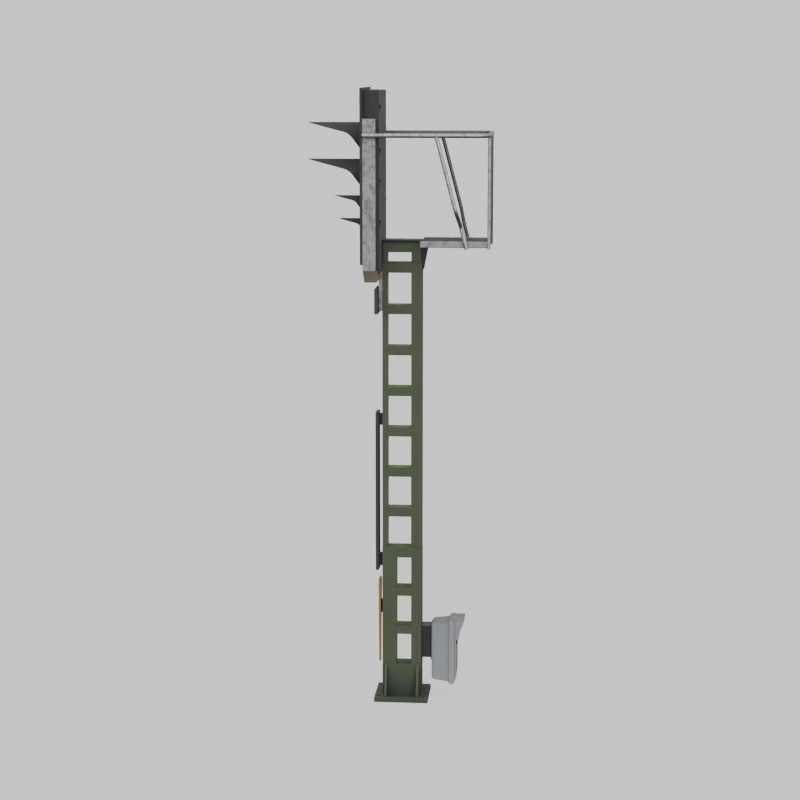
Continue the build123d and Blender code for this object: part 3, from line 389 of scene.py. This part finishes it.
def sheeting(name, base):
    """Retroreflective sheeting: a fine honeycomb under a clear film, with faint streaks."""
    s = Shader(name, 0.35)
    s.bsdf.inputs["Coat Weight"].default_value = 0.4
    s.bsdf.inputs["Coat Roughness"].default_value = 0.15
    comb = s.add("ShaderNodeTexVoronoi", feature="DISTANCE_TO_EDGE")
    comb.inputs["Scale"].default_value = 210.0
    comb.inputs["Randomness"].default_value = 0.1
    s.link(s.coord, comb.inputs["Vector"])
    cell = s.ramp(comb.outputs["Distance"], 0.02, 0.10)
    tone = s.mix(cell, scaled(base, 0.78), base)
    streak = s.ramp(s.noise(9.0, 6, 0.65, stretch=(1, 1, 0.15)), 0.50, 0.75, 0.0, 0.28)
    s.colour(s.mix(streak, tone, scaled(base, 0.55)))
    s.bump(cell, 0.0001, 0.5)
    return s.material


MAST = (0.076, 0.098, 0.057)
# The tones of painted are its base, its rubbed edges with their painted highlight, and its dust, in that
# order.
MATERIALS = {
    # The mast's paint carries painted shade near the ground and in the corners, and painted light on its
    # inner faces (inner, 3.4 times the base).
    "mast_green": painted("mast_green", MAST, (0.14, 0.165, 0.11), (0.125, 0.140, 0.092), 0.6, rust=0.5,
                          edge_rub_and_highlight=0.35, ground_shade=0.55, corner_shade=0.3, inner=scaled(MAST, 3.4)),
    "dark_steel": painted("dark_steel", grey(0.028, 0.003), grey(0.08), grey(0.22), 0.6, rust=0.4, edge_rub_and_highlight=0.3),
    "galvanised": galvanised("galvanised", 0.42, 0.85),
    "grating_steel": galvanised("grating_steel", 0.17),
    "primer_brown": primer("primer_brown"),
    "board_black": painted("board_black", grey(0.038), grey(0.085), grey(0.11), 0.6, rear=grey(0.090),
                           edge_rub_and_highlight=0.2, corner_shade=0.1),
    "hood_black": painted("hood_black", (0.036, 0.037, 0.034), grey(0.08), grey(0.07), 0.65, edge_rub_and_highlight=0.2),
    "lens_red": glass("lens_red", (0.42, 0.012, 0.010), (0.22, 0.006, 0.006)),
    "lens_green": glass("lens_green", (0.010, 0.30, 0.17), (0.006, 0.16, 0.10)),
    "lens_clear": glass("lens_clear", (0.75, 0.77, 0.75), (0.60, 0.63, 0.62), 0.75),
    "lens_ring_metal": moulded("lens_ring_metal", grey(0.03), 0.45),
    "optic_metal": bare_metal("optic_metal", grey(0.55), 0.3),
    "black_plastic": moulded("black_plastic", (0.02, 0.02, 0.022), 0.45),
    "handle_steel": bare_metal("handle_steel", grey(0.20), 0.45),
    "zinc_steel": bare_metal("zinc_steel", grey(0.42, 0.01), 0.42),
    "transformer_grey": painted("transformer_grey", (0.17, 0.19, 0.20), grey(0.35), grey(0.3), 0.5),
    "terminal_plastic": moulded("terminal_plastic", (0.32, 0.31, 0.27), 0.5),
    "seal_rubber": moulded("seal_rubber", grey(0.018), 0.8, 120.0),
    "plate_grey": painted("plate_grey", grey(0.055), grey(0.11), grey(0.17), 0.6, edge_rub_and_highlight=0.3),
    "sign_white": painted("sign_edge", grey(0.043), grey(0.10), grey(0.14), 0.6, edge_rub_and_highlight=0.3),
    "sign_yellow": painted("triangle_edge", (0.52, 0.29, 0.032), (0.56, 0.36, 0.08), (0.40, 0.28, 0.10),
                           0.55, corner_shade=0.2),
    "box_grey": painted("box_grey", (0.325, 0.338, 0.368), grey(0.50), (0.13, 0.12, 0.105), 0.5),
}

TUBE_ZINC = galvanised("tube_zinc", 0.58, 0.6, 0.9, tube=True)
HINGE_PAINT = painted("hinge_paint", grey(0.095), grey(0.11), grey(0.15), 0.6, edge_rub_and_highlight=0.2, corner_shade=0.0)
OWN_MATERIAL = {
    "handrail": TUBE_ZINC,
    "handrail_braces": TUBE_ZINC,
    "handrail_posts": TUBE_ZINC,
    "handrail_clamps": TUBE_ZINC,
    "door_hinge_bases": HINGE_PAINT,
    "door_hinge_pins": HINGE_PAINT,
}
for name, node in NODES.items():
    node.data.materials.clear()
    node.data.materials.append(OWN_MATERIAL.get(name, MATERIALS[SLOT_OF[name]]))


# ---- softened edges on plates and sections -------------------------------------------------------
# The boxes' rims are flat rings, which can't become one polygon each.
RIMMED = ("junction_box_body", "junction_box_lid")
WELD_DISTANCE = 0.00002
FLAT_ANGLE = math.radians(0.3)
SHARP_ANGLE = math.radians(40)


def soften(name, width):
    """Round the sharp edges of a CAD node with modifiers; its own mesh stays as it is."""
    node = NODES[name]
    weld = node.modifiers.new("weld", "WELD")
    weld.merge_threshold = WELD_DISTANCE
    if name not in RIMMED:
        flat = node.modifiers.new("flat", "DECIMATE")
        flat.decimate_type = "DISSOLVE"
        flat.angle_limit = FLAT_ANGLE
    bevel = node.modifiers.new("bevel", "BEVEL")
    bevel.width = width
    bevel.segments = 2
    bevel.limit_method = "ANGLE"
    bevel.angle_limit = SHARP_ANGLE
    bevel.miter_outer = "MITER_ARC"
    even = node.modifiers.new("even", "WEIGHTED_NORMAL")
    even.keep_sharp = False


# Width of the rounding, and the nodes that get it.
SOFT = {
    0.004: ["base_plate"],
    0.0025: ["base_gussets", "mast_flange_plates", "mast_cap_plate"],
    0.002: ["lower_front_channel", "lower_rear_channel", "upper_front_channel", "upper_rear_channel",
            "mast_head_frame", "platform_brackets", "side_channels", "lower_crossmember",
            "junction_bracket", "platform_side_beams"],
    0.0012: ["lower_side_battens", "upper_side_battens", "mount_rail", "background_board", "upper_door",
             "lower_door", "number_plate", "mast_sign", "caution_triangle", "sign_brackets",
             "housing_shell", "platform_cross_beams", "junction_box_body", "junction_box_lid"],
}
for width, names in SOFT.items():
    for name in names:
        soften(name, width)


# ---- pieces added to the frame -------------------------------------------------------------------
def add_piece(name, bm, material, sharp=35.0):
    """A new mesh on the root body, smooth except where it turns by more than sharp degrees."""
    bmesh.ops.recalc_face_normals(bm, faces=bm.faces)
    mesh = bpy.data.meshes.new(name)
    bm.to_mesh(mesh)
    bm.free()
    mesh.shade_smooth()
    mesh.set_sharp_from_angle(angle=math.radians(sharp))
    mesh.materials.append(material)
    piece = bpy.data.objects.new(name, mesh)
    bpy.context.scene.collection.objects.link(piece)
    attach(piece, "root")
    return piece


def bridge(bm, rings):
    """Faces between each ring of vertices and the next; a ring of one vertex is a tip."""
    for near, far in zip(rings, rings[1:]):
        count = max(len(near), len(far))
        for i in range(count):
            j = (i + 1) % count
            corners = [near[i % len(near)], near[j % len(near)], far[j % len(far)], far[i % len(far)]]
            bm.faces.new(list(dict.fromkeys(corners)))


def ring_at(bm, outline, y):
    """A ring of vertices with that outline of (x, z) points, at one y."""
    return [bm.verts.new((x, y, z)) for x, z in outline]


def prism(bm, outline, front, rear):
    """A solid with that outline of (x, z) points, from front to rear along Y."""
    rings = [ring_at(bm, outline, front), ring_at(bm, outline, rear)]
    bm.faces.new(rings[0])
    bm.faces.new(rings[1][::-1])
    bridge(bm, rings)


def solids_of(name):
    """The box of each separate solid of a CAD node, as (lowest corner, highest corner)."""
    bm = bmesh.new()
    bm.from_mesh(NODES[name].data)
    bmesh.ops.remove_doubles(bm, verts=bm.verts, dist=WELD_DISTANCE)
    unseen = set(bm.verts)
    boxes = []
    while unseen:
        stack = [unseen.pop()]
        points = []
        while stack:
            vert = stack.pop()
            points.append(vert.co.copy())
            for edge in vert.link_edges:
                other = edge.other_vert(vert)
                if other in unseen:
                    unseen.remove(other)
                    stack.append(other)
        low = Vector(min(p[i] for p in points) for i in range(3))
        high = Vector(max(p[i] for p in points) for i in range(3))
        boxes.append((low, high))
    bm.free()
    return sorted(boxes, key=lambda box: tuple(box[0]))


# ---- sheeting on the signs -----------------------------------------------------------------------
SHEETING_T = 0.0008
SHEETING_BED = 0.0002        # how far the sheets reach into the plates
WHITE_SHEET = sheeting("white_sheeting", (0.66, 0.66, 0.62))
RED_SHEET = sheeting("red_sheeting", (0.36, 0.018, 0.015))
YELLOW_SHEET = sheeting("yellow_sheeting", (0.66, 0.38, 0.02))

SIGN_RIM = 0.007
PANEL_GAP = 0.003
PANEL_CORNER_R = 0.004
PLATE_RIM = 0.012
PLATE_CORNER_R = 0.010
TRIANGLE_RIM_W = 0.004
TRIANGLE_RIM_H = 0.0065
CORNER_STEPS = 6


def rounded(x0, x1, z0, z1, radius):
    """Outline of a rectangle with round corners, as (x, z) points."""
    centres = [(x1 - radius, z1 - radius), (x0 + radius, z1 - radius),
               (x0 + radius, z0 + radius), (x1 - radius, z0 + radius)]
    outline = []
    for quarter, (x, z) in enumerate(centres):
        for i in range(CORNER_STEPS + 1):
            angle = math.pi / 2 * (quarter + i / CORNER_STEPS)
            outline.append((x + radius * math.cos(angle), z + radius * math.sin(angle)))
    return outline


def face_sheet(name, outline, face, material):
    """A thin sheet with that outline, standing just proud of a sign's front face."""
    bm = bmesh.new()
    prism(bm, outline, face - SHEETING_T, face + SHEETING_BED)
    add_piece(name, bm, material)


def add_mast_sign_faces():
    """White, red and white panels, one above the other."""
    low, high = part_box("mast_sign")
    bottom = low.z + SIGN_RIM
    height = high.z - SIGN_RIM - bottom
    panels = [
        ("lower_white", WHITE_SHEET, 0.0, 0.3),
        ("red", RED_SHEET, 0.3, 0.7),
        ("upper_white", WHITE_SHEET, 0.7, 1.0),
    ]
    for name, material, start, end in panels:
        z0 = bottom + start * height + PANEL_GAP / 2
        z1 = bottom + end * height - PANEL_GAP / 2
        outline = rounded(low.x + SIGN_RIM, high.x - SIGN_RIM, z0, z1, PANEL_CORNER_R)
        face_sheet(f"mast_sign_{name}", outline, low.y, material)


def raised_rim(name, outer, inner, face, height, material):
    """A rim between two outlines of equal length, standing proud of a front face."""
    bm = bmesh.new()
    top = face - height
    section = ((outer, face), (outer, top), (inner, top), (inner, face))
    rings = [ring_at(bm, outline, y) for outline, y in section]
    bridge(bm, rings + rings[:1])
    add_piece(name, bm, material)


def add_triangle_face():
    """Yellow sheet inside a raised rim: both are the plate's outline drawn in towards its incentre."""
    low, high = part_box("caution_triangle")
    middle = (low.x + high.x) / 2
    corners = [Vector((low.x, high.z)), Vector((high.x, high.z)), Vector((middle, low.z))]
    sides = [(corners[i - 2] - corners[i - 1]).length for i in range(3)]
    weighted = [side * corner for side, corner in zip(sides, corners)]
    incentre = sum(weighted, Vector((0, 0))) / sum(sides)
    inradius = (high.x - low.x) * (high.z - low.z) / sum(sides)

    def drawn_in(inset):
        return [tuple(incentre + (corner - incentre) * (1 - inset / inradius)) for corner in corners]

    inside = drawn_in(TRIANGLE_RIM_W)
    paint = MATERIALS["sign_yellow"]
    face_sheet("caution_triangle_sheet", inside, low.y, YELLOW_SHEET)
    raised_rim("caution_triangle_rim", drawn_in(0.0), inside, low.y, TRIANGLE_RIM_H, paint)


def add_number_plate_face():
    """A blank white sheet on the designation plate."""
    low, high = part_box("number_plate")
    rim = PLATE_RIM
    outline = rounded(low.x + rim, high.x - rim, low.z + rim, high.z - rim, PLATE_CORNER_R)
    face_sheet("number_plate_sheet", outline, low.y, WHITE_SHEET)


# ---- stepped lenses ------------------------------------------------------------------------------
LENS_ZONES = 9
LENS_SHOULDER = 0.005
# The radius of the bullseye and the depth of the cuts, as parts of the lens's radius.
BULLSEYE = 0.2
CUT_DEPTH = 0.035
CUT_WIDTH = 0.08        # as a part of a zone's width


def lens_profile(radius, front, shoulder, back):
    """(radius, y) points of a stepped lens: a bullseye, then rings cut like prisms under one dome."""
    bullseye = BULLSEYE * radius
    cut = CUT_DEPTH * radius
    curve = (shoulder - front) / radius ** 2
    profile = [(bullseye * i / 4, front + curve * (bullseye * i / 4) ** 2) for i in range(5)]
    width = (radius - bullseye) / LENS_ZONES
    for i in range(LENS_ZONES):
        outer = bullseye + (i + 1) * width
        dome = front + curve * outer ** 2
        groove = min(dome + cut, shoulder + 0.5 * cut)
        profile.append((outer - CUT_WIDTH * width, groove))
        profile.append((outer, dome))
    return profile + [(radius, back), (0.0, back)]


def lathe(bm, profile, x, z, segments=96):
    """Turn (radius, y) points about the line along Y through x, z; the ends lie on the axis."""
    turn = [2 * math.pi * i / segments for i in range(segments)]
    rings = []
    for r, y in profile:
        outline = [(x + r * math.cos(t), z + r * math.sin(t)) for t in turn] if r else [(x, z)]
        rings.append(ring_at(bm, outline, y))
    bridge(bm, rings)


def add_lenses():
    """A stepped lens in place of each plain one of the CAD."""
    for node in ("lens_main_upper", "lens_main_lower", "shunt_lenses"):
        bm = bmesh.new()
        for low, high in solids_of(node):
            centre = (low + high) / 2
            radius = (high.x - low.x) / 2
            lathe(bm, lens_profile(radius, low.y, high.y - LENS_SHOULDER, high.y), centre.x, centre.z)
        slot = SLOT_OF[node]
        piece = add_piece(f"{node}_glass", bm, MATERIALS[slot], sharp=20.0)
        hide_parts(node)


# ---- plugs in the ends of tubes and beams --------------------------------------------------------
RAIL_PLUG_DOME = 0.004
RAIL_PLUG_DEPTH = 0.010
BEAM_PLUG_INSET = 0.003
BEAM_PLUG_DEPTH = 0.002
BEAM_PLUG_HEAD = 0.0015
BEAM_PLUG_CORNER_R = 0.006


def add_rail_caps():
    """A domed plug in each open front end of the handrail."""
    low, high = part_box("handrail")
    radius = (high.z - low.z) / 2
    front = low.y
    neck = 0.85 * radius
    profile = [
        (0.0, front - RAIL_PLUG_DOME),
        (0.5 * radius, front - 0.85 * RAIL_PLUG_DOME),
        (neck, front - 0.45 * RAIL_PLUG_DOME),
        (radius, front),
        (neck, front + 0.0005),
        (0.84 * radius, front + RAIL_PLUG_DEPTH),
        (0.0, front + RAIL_PLUG_DEPTH),
    ]
    bm = bmesh.new()
    for x in (low.x + radius, high.x - radius):
        lathe(bm, profile, x, (low.z + high.z) / 2, 32)
    add_piece("handrail_end_caps", bm, MATERIALS["black_plastic"])


def add_beam_caps():
    """A flat plug with round corners in each open rear end of the side beams."""
    inset = BEAM_PLUG_INSET
    bm = bmesh.new()
    for low, high in solids_of("platform_side_beams"):
        outline = rounded(low.x + inset, high.x - inset, low.z + inset, high.z - inset, BEAM_PLUG_CORNER_R)
        prism(bm, outline, high.y - BEAM_PLUG_DEPTH, high.y + BEAM_PLUG_HEAD)
    add_piece("beam_end_caps", bm, MATERIALS["black_plastic"])


# ---- weld beads ----------------------------------------------------------------------------------
RIPPLE = 0.005
BEAD_SIDES = 8
BEAD_R = 0.004
FOOT_BEAD_R = 0.005
BRACKET_BEAD_R = 0.003
POST_BEAD_R = 0.0025
BEAD_WANDER = 0.0004
BEAD_END = 0.35              # thickness of a bead's ends, as a part of its radius
# How far the ends of the beads stay back from the ends of their seams.
SEAM_INSET = 0.01
FOOT_INSET = 0.03
GUSSET_INSET = 0.004
POST_INSET = 0.009
GUSSET_REACH = 0.97          # of the bead under a gusset, as a part of the gusset's
POST_FOOT_LAP = 0.005        # of a post's foot plate along its side beam


def bead(bm, start, end, radius=BEAD_R):
    """A rippled weld bead along a straight seam; half of it lies in the plates."""
    start = Vector(start)
    end = Vector(end)
    along = (end - start).normalized()
    side = along.orthogonal().normalized()
    up = along.cross(side)
    turn = [2 * math.pi * k / BEAD_SIDES for k in range(BEAD_SIDES)]
    count = max(3, round((end - start).length / RIPPLE))
    rings = []
    for i in range(count + 1):
        centre = start.lerp(end, i / count) + side * random.uniform(-BEAD_WANDER, BEAD_WANDER)
        swell = BEAD_END if i in (0, count) else random.uniform(0.85, 1.0) + 0.15 * (i % 2)
        points = [centre + radius * swell * (side * math.cos(t) + up * math.sin(t)) for t in turn]
        rings.append([bm.verts.new(point) for point in points])
    bridge(bm, rings)
    bm.faces.new(rings[0][::-1])
    bm.faces.new(rings[-1])


def add_mast_welds():
    """Beads on the gussets, round the mast's foot, where its two sections meet, and under the cap."""
    bm = bmesh.new()
    plate_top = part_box("base_plate")[1].z
    for low, high in solids_of("base_gussets"):
        inner, outer = sorted((low.x, high.x), key=abs)
        for y in (low.y, high.y):
            bead(bm, (inner, y, plate_top), (inner, y, high.z - GUSSET_INSET))
            bead(bm, (inner, y, plate_top), (outer * GUSSET_REACH, y, plate_top))
    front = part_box("lower_front_channel")
    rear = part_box("lower_rear_channel")
    for x in (front[0].x, front[1].x):
        start = (x, front[0].y + FOOT_INSET, plate_top)
        bead(bm, start, (x, rear[1].y - FOOT_INSET, plate_top), FOOT_BEAD_R)
    for y in (front[0].y, rear[1].y):
        bead(bm, (front[0].x, y, plate_top), (front[1].x, y, plate_top), FOOT_BEAD_R)
    joint = front[1].z
    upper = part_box("upper_front_channel")
    for x in (upper[0].x, upper[1].x):
        bead(bm, (x, front[0].y + SEAM_INSET, joint), (x, rear[1].y - SEAM_INSET, joint))
    cap_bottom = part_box("mast_cap_plate")[0].z
    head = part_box("mast_head_frame")
    for x in (head[0].x, head[1].x):
        bead(bm, (x, head[0].y + SEAM_INSET, cap_bottom), (x, head[1].y - SEAM_INSET, cap_bottom))
    add_piece("mast_weld_beads", bm, MATERIALS["mast_green"], sharp=60.0)


def add_bracket_welds():
    """Upright beads where the platform brackets meet the mast."""
    bm = bmesh.new()
    for low, high in solids_of("platform_brackets"):
        for x in (low.x, high.x):
            bead(bm, (x, low.y, low.z + SEAM_INSET), (x, low.y, high.z - SEAM_INSET), BRACKET_BEAD_R)
    add_piece("bracket_weld_beads", bm, MATERIALS["dark_steel"], sharp=60.0)


def add_post_welds():
    """Upright beads where the foot plate of each post meets the rear end of its side beam."""
    bm = bmesh.new()
    beam_low, beam_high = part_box("platform_side_beams")
    for low, high in solids_of("handrail_posts"):
        seam_x = low.x if low.x > 0 else high.x
        for y in (beam_high.y - POST_FOOT_LAP, beam_high.y):
            start = (seam_x, y, beam_low.z + POST_INSET)
            bead(bm, start, (seam_x, y, beam_high.z - POST_INSET), POST_BEAD_R)
    add_piece("post_weld_beads", bm, TUBE_ZINC, sharp=60.0)


random.seed(7)
add_mast_sign_faces()
add_triangle_face()
add_number_plate_face()
add_lenses()
add_rail_caps()
add_beam_caps()
add_mast_welds()
add_bracket_welds()
add_post_welds()


# ---- floor and light -----------------------------------------------------------------------------
SKY = 1.0
FLOOR_ALBEDO = 0.12
STUDIO_RADIUS = 280.0
STUDIO_SIDES = 96
# The world's light as a part of SKY, away from the key side and towards it, and its factor from below.
SHADE = 0.42
BRIGHT = 1.05
FROM_BELOW = 0.35
SUN_DISTANCE = 20.0
SUNS = [
    # azimuth, elevation, strength, spread in degrees
    (112.0, 22.0, 0.55, 50.0),
    (35.0, 28.0, 0.30, 60.0),
]
KEY_SIDE = direction(95.0, 40.0)


def backdrop_only(obj, name, albedo, glow):
    """A stage surface that the camera sees and that casts nothing back on the object."""
    s = Shader(name, 1.0)
    s.bsdf.inputs["Specular IOR Level"].default_value = 0.0
    s.bsdf.inputs["Emission Color"].default_value = (1, 1, 1, 1)
    s.bsdf.inputs["Emission Strength"].default_value = glow
    s.colour(s.mix(s.noise(0.4, 3), grey(albedo), grey(albedo * 0.99)))
    obj.name = name
    obj.data.materials.append(s.material)
    s.material.cycles.emission_sampling = "NONE"
    obj.visible_diffuse = False
    obj.visible_glossy = False
    obj.visible_shadow = False


def add_studio():
    """A pale floor that runs without an edge into a pale round wall."""
    bpy.ops.mesh.primitive_circle_add(vertices=STUDIO_SIDES, radius=STUDIO_RADIUS, fill_type="NGON")
    backdrop_only(bpy.context.object, "floor", FLOOR_ALBEDO, SKY * (1 - FLOOR_ALBEDO))
    bpy.ops.mesh.primitive_uv_sphere_add(
        segments=STUDIO_SIDES, ring_count=STUDIO_SIDES // 2, radius=STUDIO_RADIUS)
    backdrop_only(bpy.context.object, "wall", 0.0, SKY)


def add_suns():
    for number, (azimuth, elevation, strength, spread) in enumerate(SUNS):
        data = bpy.data.lights.new(f"sun{number}", "SUN")
        data.energy = strength
        data.angle = math.radians(spread)
        light = bpy.data.objects.new(f"sun{number}", data)
        light.location = SUN_DISTANCE * direction(azimuth, elevation)
        bpy.context.scene.collection.objects.link(light)
        aim(light, (0, 0, 0))


def add_world():
    """Soft light from all round: brightest from the key side and above, weakest from below."""
    world = bpy.data.worlds.new("studio")
    world.use_nodes = True
    tree = world.node_tree
    tree.nodes["Background"].inputs["Color"].default_value = (1, 1, 1, 1)
    coord = tree.nodes.new("ShaderNodeTexCoord").outputs["Generated"]
    facing = tree.nodes.new("ShaderNodeVectorMath")
    facing.operation = "DOT_PRODUCT"
    facing.inputs[1].default_value = KEY_SIDE
    tree.links.new(coord, facing.inputs[0])
    level = tree.nodes.new("ShaderNodeMapRange")
    level.inputs["From Min"].default_value = -0.6
    level.inputs["From Max"].default_value = 0.8
    level.inputs["To Min"].default_value = SHADE * SKY
    level.inputs["To Max"].default_value = BRIGHT * SKY
    tree.links.new(facing.outputs["Value"], level.inputs["Value"])
    split = tree.nodes.new("ShaderNodeSeparateXYZ")
    tree.links.new(coord, split.inputs[0])
    below = tree.nodes.new("ShaderNodeMapRange")
    below.inputs["From Min"].default_value = -0.25
    below.inputs["From Max"].default_value = 0.05
    below.inputs["To Min"].default_value = FROM_BELOW
    tree.links.new(split.outputs["Z"], below.inputs["Value"])
    strength = tree.nodes.new("ShaderNodeMath")
    strength.operation = "MULTIPLY"
    tree.links.new(level.outputs["Result"], strength.inputs[0])
    tree.links.new(below.outputs["Result"], strength.inputs[1])
    tree.links.new(strength.outputs[0], tree.nodes["Background"].inputs["Strength"])
    bpy.context.scene.world = world


add_studio()
add_world()
add_suns()
add_camera()
